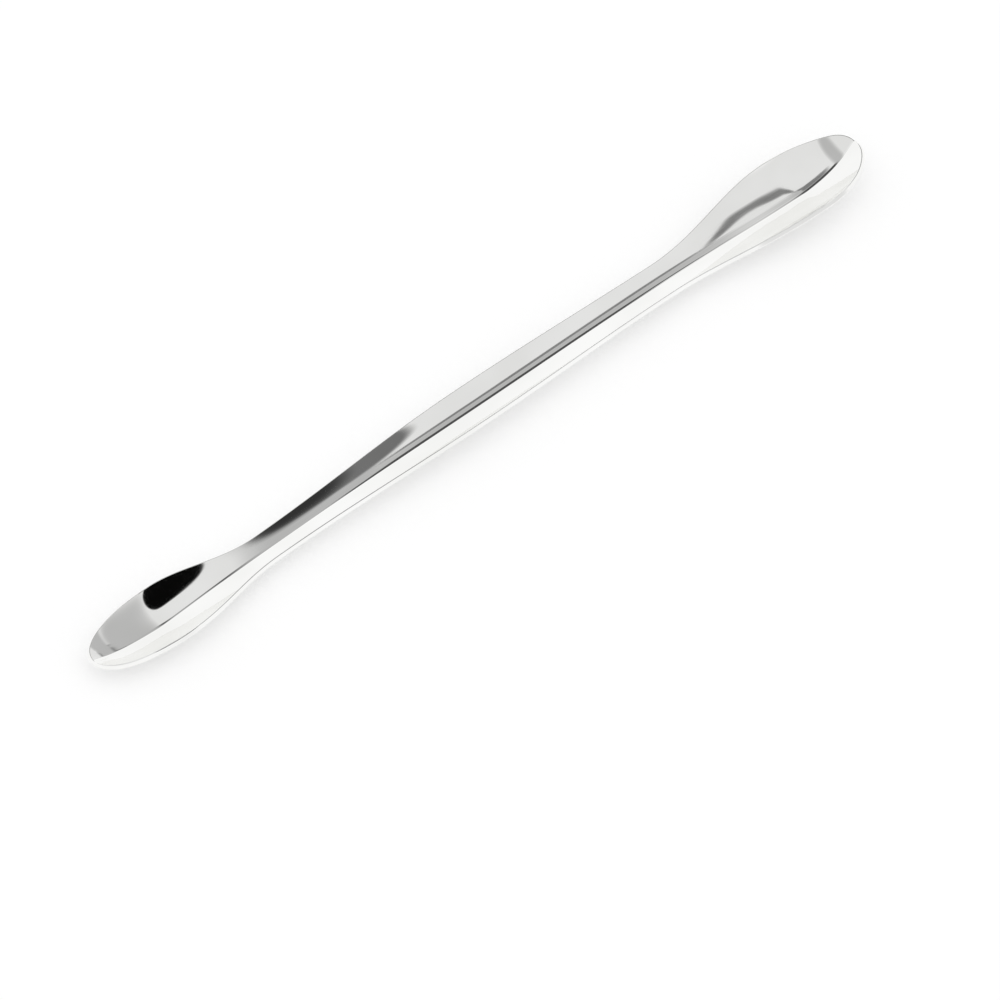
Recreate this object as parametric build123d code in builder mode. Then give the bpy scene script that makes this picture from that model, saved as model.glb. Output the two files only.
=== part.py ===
from build123d import *
import os

# A double-ended lab spatula, pressed from one strip of stainless sheet.  The flat
# blank is a dog bone with a round tip at each end.  Pressing gives it a V crease
# from tip to tip and turns its two ends into scoops.
#
# Frame: +X runs from the small scoop to the large one, +Z is up.  The origin is on
# the bench, under the middle of the spatula, which lies with its mouths upward.

# Driving dimensions, in millimetres and degrees
LENGTH = 179.2  # from tip to tip, over the inner edge of the rim
SHEET = 0.9  # gauge of the sheet

SMALL_WIDTH = 12.4  # small scoop, across its inner rims at the widest place
SMALL_REACH = 16.0  # from its tip to that place
SMALL_HEEL = 18.0  # from its tip to where its floor starts to climb to the neck
SMALL_TOE = 6.0  # from its tip to where its floor turns up into the end wall
SMALL_TOE_RISE = 0.6  # crease at the toe, over the heel
SMALL_TIP_RISE = 2.4  # crease at the tip, over the heel

LARGE_WIDTH = 15.0  # the same sizes for the large scoop
LARGE_REACH = 15.5
LARGE_HEEL = 20.0
LARGE_TOE = 8.0
LARGE_TOE_RISE = 0.5
LARGE_TIP_RISE = 5.0

GRIP_WIDTH = 8.8  # the gentle bulge in the middle of the handle
GRIP_REACH = 86.0  # from the small tip
GRIP_RISE = 1.6  # crease there, over the heels of the scoops

SMALL_NECK_WIDTH = 6.1  # narrow place beside the small scoop
SMALL_NECK_REACH = 38.0  # from the small tip
SMALL_NECK_RISE = 1.3
LARGE_NECK_WIDTH = 7.6  # narrow place beside the large scoop
LARGE_NECK_REACH = 48.0  # from the large tip
LARGE_NECK_RISE = 1.35

CREASE_LAND = 0.8  # flat bottom of the crease, which the spatula stands on
CREASE_RADIUS = 2.0  # inside the bend on each side of the land
CREASE_SLOPE = 12.5  # of each wall where it leaves the crease
WALL_RADIUS = 12.3  # hollow of each wall, which steepens towards its rim

TIP_FULLNESS = 0.6  # pull of the blank's tip curves: 0.55 is an ellipse, 1 is square
SIDE_EASE = 0.37  # share of each side curve that its level ends govern

EDGE_ROUND = 0.2  # polished round on both edges of the cut rim

DIE_SPANS = 40  # spans between the cross-sections of the die
DIE_OVERRUN = 3.0  # of the die past each tip
DIE_SLOPE = 80.0  # of its flanks at the top, outside the blank
TRIM_DEPTH = 40.0  # of the prism that trims the die to the blank's outline
LOOKS_DOWN = 0.01  # least downward share of the normal of a face that presses the sheet

SMALL_TIP = -LENGTH / 2
LARGE_TIP = LENGTH / 2


def tip_curve(tip, widest, half_width):
    """A quarter of a rounded end, from the tip to the widest place."""
    reach = widest - tip
    Bezier(
        (tip, 0),
        (tip, TIP_FULLNESS * half_width),
        (widest - TIP_FULLNESS * reach, half_width),
        (widest, half_width),
    )


def side_curve(start, end):
    """A side of the blank between two places where it runs level."""
    ease = SIDE_EASE * (end[0] - start[0])
    Bezier(start, (start[0] + ease, start[1]), (end[0] - ease, end[1]), end)


def die_flank(start, direction, turn_sign):
    """One side of the die: the bend beside the land, then the hollow of the wall."""
    bend = JernArc(start, direction, CREASE_RADIUS, turn_sign * CREASE_SLOPE)
    wall = JernArc(bend @ 1, bend % 1, WALL_RADIUS, turn_sign * (DIE_SLOPE - CREASE_SLOPE))
    return wall @ 1


def die_section():
    """The die across the crease: a flat land between two hollow flanks."""
    land = Line((-CREASE_LAND / 2, 0), (CREASE_LAND / 2, 0))
    right_top = die_flank(land @ 1, (1, 0), 1)
    left_top = die_flank(land @ 0, (-1, 0), -1)
    Line(right_top, left_top)


# The crease, seen from the side: nearly level along the handle, low in each scoop
# and turned up at each tip.  Straight ends carry the die past the tips.
with BuildLine(Plane.XZ) as crease:
    crease_curve = Spline(
        (SMALL_TIP, SMALL_TIP_RISE),
        (SMALL_TIP + SMALL_TOE, SMALL_TOE_RISE),
        (SMALL_TIP + SMALL_HEEL, 0),
        (SMALL_TIP + SMALL_NECK_REACH, SMALL_NECK_RISE),
        (SMALL_TIP + GRIP_REACH, GRIP_RISE),
        (LARGE_TIP - LARGE_NECK_REACH, LARGE_NECK_RISE),
        (LARGE_TIP - LARGE_HEEL, 0),
        (LARGE_TIP - LARGE_TOE, LARGE_TOE_RISE),
        (LARGE_TIP, LARGE_TIP_RISE),
    )
    Line(crease_curve @ 0, crease_curve @ 0 - (crease_curve % 0) * DIE_OVERRUN)
    Line(crease_curve @ 1, crease_curve @ 1 + (crease_curve % 1) * DIE_OVERRUN)

# The outline of the blank in plan, over the inner edge of the rim.
with BuildSketch() as blank:
    small_widest = (SMALL_TIP + SMALL_REACH, SMALL_WIDTH / 2)
    small_neck = (SMALL_TIP + SMALL_NECK_REACH, SMALL_NECK_WIDTH / 2)
    grip = (SMALL_TIP + GRIP_REACH, GRIP_WIDTH / 2)
    large_neck = (LARGE_TIP - LARGE_NECK_REACH, LARGE_NECK_WIDTH / 2)
    large_widest = (LARGE_TIP - LARGE_REACH, LARGE_WIDTH / 2)
    with BuildLine():
        tip_curve(SMALL_TIP, *small_widest)
        side_curve(small_widest, small_neck)
        side_curve(small_neck, grip)
        side_curve(grip, large_neck)
        side_curve(large_neck, large_widest)
        tip_curve(LARGE_TIP, *large_widest)
        mirror(about=Plane.XZ)
    make_face()

# The die that forms the trough: equal sections, set along the crease, and trimmed
# to the outline of the blank.
with BuildPart() as die:
    crease_path = crease.wire()
    for station in range(DIE_SPANS + 1):
        bottom = crease_path @ (station / DIE_SPANS)
        with BuildSketch(Plane(origin=bottom, x_dir=(0, 1, 0), z_dir=(1, 0, 0))):
            with BuildLine():
                die_section()
            make_face()
    loft()
    extrude(blank.sketch, amount=TRIM_DEPTH, both=True, mode=Mode.INTERSECT)

# The sheet lies against the faces of the die that look down, so its cut rim stands
# square to its walls.
pressed_faces = die.faces().filter_by(lambda face: face.normal_at().Z < -LOOKS_DOWN)
sheet = Solid.thicken(Shell(pressed_faces), SHEET)
sheet_box = sheet.bounding_box()
to_bench = Location((-sheet_box.center().X, 0, -sheet_box.min.Z))

with BuildPart() as spatula:
    add(sheet.moved(to_bench))
    # The rim's edges wander across the sheet; the edges along the crease do not.
    rim_edges = spatula.edges().filter_by(lambda edge: edge.bounding_box().size.Y > 2 * SHEET)
    fillet(rim_edges, EDGE_ROUND)

spatula.part.label = "spatula"

os.makedirs("parts", exist_ok=True)
export_step(spatula.part, "parts/spatula.step")
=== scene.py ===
"""A polished steel lab spatula on a white floor.

The spatula is one pressed sheet.  Its mirror finish needs a finer mesh than the
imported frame's, so the sheet is drawn here from its own formulas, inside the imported
model's box.  Plain cards hang over it for the steel to mirror.  The sheet's lengths
are in millimetres and the studio's in metres.
"""
import math
from typing import NamedTuple

import bpy
import numpy as np
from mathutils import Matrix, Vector


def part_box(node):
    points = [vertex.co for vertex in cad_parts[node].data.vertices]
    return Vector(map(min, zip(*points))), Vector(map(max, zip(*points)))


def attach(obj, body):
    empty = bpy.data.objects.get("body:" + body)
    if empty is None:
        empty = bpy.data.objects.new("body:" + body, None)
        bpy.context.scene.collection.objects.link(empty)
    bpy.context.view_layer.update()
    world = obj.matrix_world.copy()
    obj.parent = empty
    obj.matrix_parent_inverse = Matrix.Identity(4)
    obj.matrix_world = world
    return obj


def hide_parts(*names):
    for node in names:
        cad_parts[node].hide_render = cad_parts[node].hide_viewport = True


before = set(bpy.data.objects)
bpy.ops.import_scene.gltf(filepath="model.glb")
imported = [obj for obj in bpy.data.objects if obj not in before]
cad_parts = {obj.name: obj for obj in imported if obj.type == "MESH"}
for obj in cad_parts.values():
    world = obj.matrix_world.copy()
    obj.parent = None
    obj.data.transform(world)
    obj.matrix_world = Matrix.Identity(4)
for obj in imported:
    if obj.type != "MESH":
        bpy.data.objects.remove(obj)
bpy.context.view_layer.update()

MM = 0.001
NODE = "spatula"

# The pressed sheet, and its outline in plan.
LENGTH = 179.2  # from tip to tip, at the rim's upper edge
SHEET = 0.9  # thickness
EDGE_ROUND = 0.2  # radius of the two rounded edges of the cut rim

SMALL_TIP = -LENGTH / 2
SMALL_WIDEST = (SMALL_TIP + 16.0, 6.2)  # along the spatula, and half the width there
SMALL_NECK = (SMALL_TIP + 38.0, 3.05)
GRIP = (SMALL_TIP + 86.0, 4.4)
LARGE_TIP = LENGTH / 2
LARGE_NECK = (LARGE_TIP - 48.0, 3.8)
LARGE_WIDEST = (LARGE_TIP - 15.5, 7.5)
TIP_FULLNESS = 0.6  # 0 makes a pointed tip and 1 a nearly square one
SIDE_EASE = 0.37  # reach of the level handles at a side's ends, as a share of its length

# The crease from the side: places along the spatula, and how high its hollow walls start.
CREASE = [
    (SMALL_TIP, 2.4),
    (SMALL_TIP + 3.0, 1.35),
    (SMALL_TIP + 6.0, 0.71),
    (SMALL_TIP + 10.0, 0.24),
    (SMALL_TIP + 13.0, 0.02),
    (SMALL_TIP + 15.0, -0.04),
    (SMALL_TIP + 18.0, 0.10),
    (SMALL_TIP + 22.0, 0.40),
    (SMALL_TIP + 26.0, 0.70),
    (SMALL_TIP + 30.0, 0.95),
    (SMALL_TIP + 34.0, 1.14),
    (SMALL_TIP + 38.0, 1.28),
    (SMALL_TIP + 50.0, 1.57),
    (SMALL_TIP + 66.0, 1.71),
    (SMALL_TIP + 86.0, 1.6),
    (LARGE_TIP - 48.0, 1.35),
    (LARGE_TIP - 29.0, 0.45),
    (LARGE_TIP - 20.0, -0.03),
    (LARGE_TIP - 16.2, -0.16),
    (LARGE_TIP - 13.2, -0.20),
    (LARGE_TIP - 12.3, -0.17),
    (LARGE_TIP - 11.2, -0.05),
    (LARGE_TIP - 9.2, 0.26),
    (LARGE_TIP - 6.2, 1.05),
    (LARGE_TIP - 3.2, 2.47),
    (LARGE_TIP, 4.93),
]

# The section across the crease: a flat land, and on each side a bend, a straight stretch
# and a hollow wall.  The crease is sharper on the upper face than on the underside, where
# the bend reaches the wall and leaves no straight stretch.
CREASE_SLOPE = math.radians(12.5)  # of each wall where it starts
WALL_RADIUS = 12.3
UPPER_LAND = 0.2
UPPER_RADIUS = 0.9
LOWER_LAND = 0.8
LOWER_RADIUS = 2.0  # to which the sheet's thickness is added
WALL_START = LOWER_LAND / 2 + LOWER_RADIUS * math.sin(CREASE_SLOPE)  # from the middle

# The mesh: how finely the sheet is divided.
SIDE_SPANS = 100  # along each of the four side curves
TIP_SPANS = 44  # along half of each rounded tip
UPPER_COLUMNS = 34  # from the crease to the rim, on the upper face
LOWER_COLUMNS = 18  # from the crease to the rim, on the underside
ROUND_STEPS = 3  # around each rounded edge of the rim


def bezier(points, spans):
    """Points along a cubic Bezier curve, with its first point left out."""
    a, b, c, d = (np.array(point, float) for point in points)
    t = np.linspace(0, 1, spans + 1)[1:, None]
    return (1 - t) ** 3 * a + 3 * (1 - t) ** 2 * t * b + 3 * (1 - t) * t**2 * c + t**3 * d


def tip_curve(tip, widest):
    """The Bezier points of half a rounded tip, from its end to its widest place."""
    place, half_width = widest
    return [
        (tip, 0),
        (tip, TIP_FULLNESS * half_width),
        (place - TIP_FULLNESS * (place - tip), half_width),
        widest,
    ]


def side_curve(start, end):
    """The Bezier points of a side between two places where it runs level."""
    ease = SIDE_EASE * (end[0] - start[0])
    return [start, (start[0] + ease, start[1]), (end[0] - ease, end[1]), end]


def outline():
    """The rim's upper edge in plan, on the +Y side, from tip to tip."""
    small_tip = bezier(tip_curve(SMALL_TIP, SMALL_WIDEST), TIP_SPANS)
    large_tip = bezier(tip_curve(LARGE_TIP, LARGE_WIDEST)[::-1], TIP_SPANS)
    stops = [SMALL_WIDEST, SMALL_NECK, GRIP, LARGE_NECK, LARGE_WIDEST]
    sides = [bezier(side_curve(a, b), SIDE_SPANS) for a, b in zip(stops, stops[1:])]
    return np.vstack([[(SMALL_TIP, 0)], small_tip, *sides, large_tip])


class Spline:
    """A natural cubic spline y(x) through given points."""

    def __init__(self, points):
        self.x, self.y = np.array(points, float).T
        gaps = np.diff(self.x)
        slopes = np.diff(self.y) / gaps
        count = len(self.x)
        matrix = np.eye(count)
        right = np.zeros(count)
        for i in range(1, count - 1):
            matrix[i, i - 1 : i + 2] = gaps[i - 1], 2 * (gaps[i - 1] + gaps[i]), gaps[i]
            right[i] = 6 * (slopes[i] - slopes[i - 1])
        self.bend = np.linalg.solve(matrix, right)

    def _span(self, x):
        """The span that holds x, its length, and how near x is to each end, from 0 to 1."""
        i = np.clip(np.searchsorted(self.x, x) - 1, 0, len(self.x) - 2)
        gap = self.x[i + 1] - self.x[i]
        return i, gap, (self.x[i + 1] - x) / gap, (x - self.x[i]) / gap

    def height(self, x):
        i, gap, a, b = self._span(x)
        bow = ((a**3 - a) * self.bend[i] + (b**3 - b) * self.bend[i + 1]) * gap**2 / 6
        return a * self.y[i] + b * self.y[i + 1] + bow

    def slope(self, x):
        i, gap, a, b = self._span(x)
        bow = ((3 * b**2 - 1) * self.bend[i + 1] - (3 * a**2 - 1) * self.bend[i]) * gap / 6
        return (self.y[i + 1] - self.y[i]) / gap + bow


def section(side, land_width, radius):
    """Height, from where the wall starts, and slope at a distance side from the crease."""
    land = land_width / 2
    bend_end = land + radius * math.sin(CREASE_SLOPE)
    in_bend = np.clip(side - land, 0, bend_end - land)
    under_bend = np.sqrt(radius**2 - in_bend**2)
    bend_drop = under_bend - radius * math.cos(CREASE_SLOPE)
    straight_drop = math.tan(CREASE_SLOPE) * (WALL_START - np.clip(side, bend_end, WALL_START))
    in_wall = np.maximum(side - WALL_START, 0) + WALL_RADIUS * math.sin(CREASE_SLOPE)
    under_wall = np.sqrt(WALL_RADIUS**2 - in_wall**2)
    wall_rise = WALL_RADIUS * math.cos(CREASE_SLOPE) - under_wall
    slope = np.where(side > bend_end, in_wall / under_wall, in_bend / under_bend)
    return wall_rise - straight_drop - bend_drop, slope


def surface(plan, crease, land_width=UPPER_LAND, radius=UPPER_RADIUS):
    """Places and normals of the pressed shape over points in plan."""
    x, y = plan[..., 0], plan[..., 1]
    rise, side_slope = section(y, land_width, radius)
    places = np.stack([x, y, crease.height(x) + rise], -1)
    normals = np.stack([-crease.slope(x), -side_slope, np.ones_like(x)], -1)
    return places, unit(normals)


def unit(vectors):
    return vectors / np.linalg.norm(vectors, axis=-1, keepdims=True)


def sheet_rings(crease):
    """Rows of places and normals across the sheet's section, at stations along it.

    Each ring runs from the middle of the upper face, over the rim, to the middle of
    the underside, on the +Y side.
    """
    rim_plan = outline()
    rim, rim_normals = surface(rim_plan, crease)
    along = unit(np.gradient(rim, axis=0))
    along[0] = (0, 1, 0)
    along[-1] = (0, -1, 0)
    outward = unit(np.cross(rim_normals, along))

    shoulder = rim - EDGE_ROUND * outward
    spine = np.stack([shoulder[:, 0], np.zeros(len(rim))], -1)
    half_width = shoulder[:, :2] - spine

    places, normals = [], []
    for share in np.linspace(0, 1, UPPER_COLUMNS + 1):
        place, normal = surface(spine + share * half_width, crease)
        places.append(place)
        normals.append(normal)
    for depth, start in ((EDGE_ROUND, 0), (SHEET - EDGE_ROUND, math.pi / 2)):
        centre = shoulder - depth * rim_normals
        for step in range(ROUND_STEPS + 1):
            turn = start + step * math.pi / 2 / ROUND_STEPS
            facing = math.sin(turn) * outward + math.cos(turn) * rim_normals
            places.append(centre + EDGE_ROUND * facing)
            normals.append(facing)
    for share in np.linspace(1, 0, LOWER_COLUMNS + 1):
        plan = spine + share * half_width
        place, normal = surface(plan, crease, LOWER_LAND, LOWER_RADIUS)
        places.append(place - SHEET * normal)
        normals.append(-normal)
    return np.stack(places, 1), np.stack(normals, 1)


def seat(places):
    """The shift, in metres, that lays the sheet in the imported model's box."""
    low, high = (np.array(corner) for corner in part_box(NODE))
    lowest, highest = places.reshape(-1, 3).min(0) * MM, places.reshape(-1, 3).max(0) * MM
    along = (low[0] + high[0]) / 2 - (lowest[0] + highest[0]) / 2
    return np.array([along, 0, low[2] - lowest[2]])


def both_sides(vectors):
    """The vectors of the +Y side, followed by their mirror images across the crease."""
    return np.vstack([vectors.reshape(-1, 3), (vectors * (1, -1, 1)).reshape(-1, 3)])


def spatula_mesh():
    """The whole sheet as one mesh, with the normals of its true surface."""
    places, normals = sheet_rings(Spline(CREASE))
    rows, ring = places.shape[:2]
    count = rows * ring
    points = both_sides(places) * MM + seat(places)

    faces = []
    for row in range(rows - 1):
        for k in range(ring - 1):
            a = row * ring + k
            quad = (a, a + ring, a + ring + 1, a + 1)
            faces.append(quad)
            faces.append(tuple(count + corner for corner in quad[::-1]))

    mesh = bpy.data.meshes.new("pressed_sheet")
    mesh.from_pydata(points.tolist(), [], faces)
    mesh.polygons.foreach_set("use_smooth", [True] * len(mesh.polygons))
    mesh.normals_split_custom_set_from_vertices(both_sides(normals).tolist())
    return mesh


class Graph:
    """Short ways to build the nodes of a shader."""

    def __init__(self, tree):
        self.nodes = tree.nodes
        self.links = tree.links

    def feed(self, socket, value):
        """Links value into a socket, or sets the socket where value is plain numbers."""
        if isinstance(value, bpy.types.NodeSocket):
            self.links.new(value, socket)
        else:
            socket.default_value = value

    def math(self, operation, *values):
        """The result of one operation on sockets and numbers."""
        node = self.nodes.new("ShaderNodeMath")
        node.operation = operation
        for socket, value in zip(node.inputs, values):
            self.feed(socket, value)
        return node.outputs[0]

    def ramp(self, value, start, end, low=0.0, high=1.0):
        """Runs smoothly from low to high as value goes from start to end."""
        node = self.nodes.new("ShaderNodeMapRange")
        node.interpolation_type = "SMOOTHSTEP"
        for name, number in (
            ("Value", value),
            ("From Min", start),
            ("From Max", end),
            ("To Min", low),
            ("To Max", high),
        ):
            self.feed(node.inputs[name], number)
        return node.outputs["Result"]

    def noise(self, fineness, detail):
        """Noise from 0 to 1, with its fineness along each axis in turns per metre."""
        place = self.nodes.new("ShaderNodeTexCoord").outputs["Object"]
        stretch = self.nodes.new("ShaderNodeMapping")
        self.feed(stretch.inputs["Vector"], place)
        self.feed(stretch.inputs["Scale"], fineness)
        noise = self.nodes.new("ShaderNodeTexNoise")
        self.feed(noise.inputs["Vector"], stretch.outputs[0])
        self.feed(noise.inputs["Scale"], 1.0)
        self.feed(noise.inputs["Detail"], detail)
        return noise.outputs[0]

    def blend(self, under, over, share):
        """under, covered by over as far as share says."""
        node = self.nodes.new("ShaderNodeMixRGB")
        self.feed(node.inputs[0], share)
        self.feed(node.inputs[1], under)
        self.feed(node.inputs[2], over)
        return node.outputs[0]


def new_material(name):
    """A new material that uses nodes, and the graph of those nodes."""
    material = bpy.data.materials.new(name)
    material.use_nodes = True
    return material, Graph(material.node_tree)


# The steel.  Fineness is in turns per metre along each axis.
NOISE_RANGE = (0.3, 0.7)  # where most of a noise lies
GRAIN_FINENESS = (60.0, 2500.0, 2500.0)  # of the lengthwise polishing lines
GRAIN_DETAIL = 3.0
GRAIN_ROUGHNESS = (0.03, 0.05)  # of the smoothest and the roughest lines
GRAIN_HEIGHT = 0.00001  # in metres
GRAIN_STRENGTH = 0.1  # how far the lines tilt the surface, as a share
HAZE_FINENESS = (70.0, 90.0, 90.0)
HAZE_DETAIL = 2.0
HAZE_RANGE = (0.4, 0.7)  # the part of its noise that roughens the steel
HAZE_ROUGHNESS = 0.02  # what the haziest patches add
STEEL_TINT = (0.90, 0.90, 0.885, 1)
HAZE_TINT = (0.95, 0.95, 0.94, 1)


def polished_steel():
    """Bright polished stainless: faint lengthwise polishing lines under a slight haze."""
    material, graph = new_material("polished_stainless")
    shader = graph.nodes["Principled BSDF"]
    shader.inputs["Metallic"].default_value = 1.0
    grain = graph.noise(GRAIN_FINENESS, GRAIN_DETAIL)
    haze = graph.noise(HAZE_FINENESS, HAZE_DETAIL)

    tint = graph.blend(STEEL_TINT, HAZE_TINT, graph.ramp(haze, *NOISE_RANGE))
    graph.feed(shader.inputs["Base Color"], tint)

    from_grain = graph.ramp(grain, *NOISE_RANGE, *GRAIN_ROUGHNESS)
    from_haze = graph.ramp(haze, *HAZE_RANGE, 0.0, HAZE_ROUGHNESS)
    graph.feed(shader.inputs["Roughness"], graph.math("ADD", from_grain, from_haze))

    relief = graph.nodes.new("ShaderNodeBump")
    relief.inputs["Strength"].default_value = GRAIN_STRENGTH
    relief.inputs["Distance"].default_value = GRAIN_HEIGHT
    graph.feed(relief.inputs["Height"], grain)
    graph.feed(shader.inputs["Normal"], relief.outputs[0])
    return material


# The camera, far off with a long lens, and where it looks.
AZIMUTH = math.radians(-43.0)
ELEVATION = math.radians(47.33)
DISTANCE = 0.950
FOCAL_SHARE = 5.4894  # focal length over the width of the sensor
SENSOR = 36.0  # width, in millimetres
AIM = (-0.0001, 0, 0.0031)  # near the spatula's middle
AIM_RIGHT = 0.0017  # how far the middle of the picture lies from there
AIM_DOWN = 0.01806


def place_camera():
    """Looks a little below the spatula, so that it lies high in the picture."""
    toward_camera = Vector((
        math.sin(AZIMUTH) * math.cos(ELEVATION),
        -math.cos(AZIMUTH) * math.cos(ELEVATION),
        math.sin(ELEVATION),
    ))
    right = Vector((math.cos(AZIMUTH), math.sin(AZIMUTH), 0))
    up = toward_camera.cross(right)
    target = Vector(AIM) + right * AIM_RIGHT - up * AIM_DOWN

    lens = bpy.data.cameras.new("camera")
    lens.sensor_width = SENSOR
    lens.lens = FOCAL_SHARE * SENSOR
    camera = bpy.data.objects.new("camera", lens)
    camera.location = target + toward_camera * DISTANCE
    camera.rotation_euler = (-toward_camera).to_track_quat("-Z", "Y").to_euler()
    bpy.context.collection.objects.link(camera)
    bpy.context.scene.camera = camera


def flat_sheet(name, size, material):
    """A flat rectangle in one material, for the studio."""
    half_width, half_depth = size[0] / 2, size[1] / 2
    corners = [
        (-half_width, -half_depth, 0),
        (half_width, -half_depth, 0),
        (half_width, half_depth, 0),
        (-half_width, half_depth, 0),
    ]
    mesh = bpy.data.meshes.new(name)
    mesh.from_pydata(corners, [], [(0, 1, 2, 3)])
    mesh.materials.append(material)
    sheet = bpy.data.objects.new(name, mesh)
    bpy.context.collection.objects.link(sheet)
    return sheet


class Card(NamedTuple):
    """A plain card that hangs over the spatula for its steel to mirror."""

    middle: tuple
    size: tuple
    tone: float  # on screen, from 0 to 1
    soft: float  # width of the soft edge, as a share of the half size
    turn: float = 0.0  # in degrees


# The names are guesses at what the steel mirrors in the photo, or say where a card shows.
# Three cards hang only 30 to 60 mm up, where no real gear would be, so that each is
# mirrored mainly by the part of the spatula under it.
CARDS = {
    "black_stand": Card((-0.0422, -0.064, 0.10), (0.037, 0.112), tone=0.03, soft=0.08, turn=4.0),
    "dark_gear": Card((-0.030, -0.003, 0.030), (0.030, 0.0165), tone=0.20, soft=0.7),
    "grey_gear": Card((-0.021, -0.0035, 0.031), (0.044, 0.016), tone=0.45, soft=0.2),
    "softbox_edge": Card((0.135, 0.025, 0.20), (0.17, 0.015), tone=0.5, soft=0.5),
    "softbox_end": Card((0.211, -0.020, 0.20), (0.012, 0.11), tone=0.5, soft=0.6, turn=14.0),
    "far_beam": Card((0.11, 0.10, 0.20), (0.27, 0.13), tone=0.3, soft=0.3),
    "crease_shade": Card((0.15, 0.04, 0.21), (0.18, 0.035), tone=0.74, soft=0.4),
    "tip_shade": Card((-0.013, 0.0, 0.06), (0.036, 0.10), tone=0.73, soft=0.3),
    "left_ceiling": Card((0.022, 0.0, 0.14), (0.064, 0.30), tone=0.74, soft=0.7),
    "ceiling": Card((0.10, -0.12, 0.22), (0.9, 0.7), tone=0.91, soft=0.3),
}
CARD_ROUNDNESS = 2.5  # the power in a card's outline, where 2 makes an ellipse
FIRST_REFLECTION = 1.5  # a ray depth between the first reflection and the second
SCREEN_OFFSET = 0.055  # of the sRGB curve
SCREEN_POWER = 2.4


def display(tone):
    """The light that shows as a given tone on screen, from 0 to 1."""
    return ((tone + SCREEN_OFFSET) / (1 + SCREEN_OFFSET)) ** SCREEN_POWER


def card_cover(graph, card):
    """One inside a card's rounded outline and zero outside, for first reflections only."""
    split = graph.nodes.new("ShaderNodeSeparateXYZ")
    graph.feed(split.inputs[0], graph.nodes.new("ShaderNodeTexCoord").outputs["Object"])
    reach = []
    for axis, width in zip("XY", card.size):
        share = graph.math("ABSOLUTE", graph.math("DIVIDE", split.outputs[axis], width / 2))
        reach.append(graph.math("POWER", share, CARD_ROUNDNESS))
    soft_start = (1 - card.soft) ** CARD_ROUNDNESS
    inside = graph.ramp(graph.math("ADD", *reach), soft_start, 1.0, 1.0, 0.0)

    path = graph.nodes.new("ShaderNodeLightPath")
    first = graph.math("LESS_THAN", path.outputs["Ray Depth"], FIRST_REFLECTION)
    return graph.math("MULTIPLY", inside, first)


def card_material(name, card):
    """A glow of the card's tone where its cover is one, and nothing where it is zero."""
    material, graph = new_material(name)
    material.cycles.emission_sampling = "NONE"
    graph.nodes.remove(graph.nodes["Principled BSDF"])
    glow = graph.nodes.new("ShaderNodeEmission")
    glow.inputs["Strength"].default_value = display(card.tone)
    clear = graph.nodes.new("ShaderNodeBsdfTransparent")
    mix = graph.nodes.new("ShaderNodeMixShader")
    graph.feed(mix.inputs[0], card_cover(graph, card))
    graph.feed(mix.inputs[1], clear.outputs[0])
    graph.feed(mix.inputs[2], glow.outputs[0])
    graph.feed(graph.nodes["Material Output"].inputs["Surface"], mix.outputs[0])
    return material


def hang_card(name, plan):
    """Hangs a card that the camera doesn't see, and that casts no light or shadow."""
    card = flat_sheet(name, plan.size, card_material(name, plan))
    card.location = plan.middle
    card.rotation_euler.z = math.radians(plan.turn)
    card.visible_camera = False
    card.visible_diffuse = False
    card.visible_shadow = False


def light_world():
    """An even white surround."""
    world = bpy.data.worlds.new("studio")
    bpy.context.scene.world = world
    world.use_nodes = True
    background = world.node_tree.nodes["Background"]
    background.inputs["Color"].default_value = (1, 1, 1, 1)
    background.inputs["Strength"].default_value = 1.0


FLOOR_SIZE = (60.0, 60.0)
FLOOR_TINT = (0.7, 0.7, 0.7, 1)
FLOOR_GLOW = 0.31  # with the tint, a white floor that still shows a shadow


def pale_floor():
    """White on screen, and dull enough to mirror nothing."""
    material, graph = new_material("pale_floor")
    shader = graph.nodes["Principled BSDF"]
    shader.inputs["Base Color"].default_value = FLOOR_TINT
    shader.inputs["Roughness"].default_value = 1.0
    shader.inputs["Specular IOR Level"].default_value = 0.0
    shader.inputs["Emission Color"].default_value = (1, 1, 1, 1)
    shader.inputs["Emission Strength"].default_value = FLOOR_GLOW
    return material


spatula = bpy.data.objects.new("pressed_spatula", spatula_mesh())
bpy.context.collection.objects.link(spatula)
spatula.data.materials.append(polished_steel())
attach(spatula, "root")
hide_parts(NODE)

bpy.context.scene.view_settings.view_transform = "Standard"
place_camera()
light_world()
for card_name, card_plan in CARDS.items():
    hang_card(card_name, card_plan)
floor = flat_sheet("floor", FLOOR_SIZE, pale_floor())
